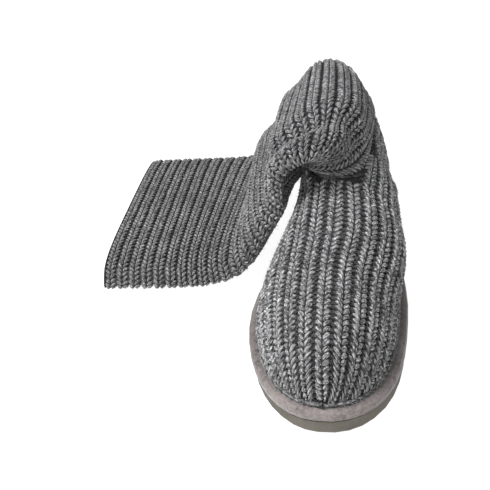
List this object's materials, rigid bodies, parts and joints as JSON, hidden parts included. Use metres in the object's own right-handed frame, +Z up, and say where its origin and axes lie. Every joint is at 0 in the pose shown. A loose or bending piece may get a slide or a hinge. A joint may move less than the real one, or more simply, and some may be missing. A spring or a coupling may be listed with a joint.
{
  "type": "knit boot",
  "caption": "Right knit boot with a slack ribbed shaft folded down on the floor, on a suede-wrapped platform and a foam outsole.",
  "frame": {"origin": "on the floor under the middle of the ball of the foot", "axes": "+Y from toe to heel, +X to the medial side, +Z up"},
  "size_m": [0.2531, 0.3027, 0.1353],
  "materials": {
    "outsole_foam": "matt foam rubber",
    "suede_wrap": "napped suede",
    "sheepskin": "short pile",
    "grey_knit": "marled wool rib"
  },
  "bodies": {
    "root": {"outsole": "outsole_foam", "platform": "suede_wrap", "insole": "sheepskin", "upper": "grey_knit"}
  },
  "joints": []
}
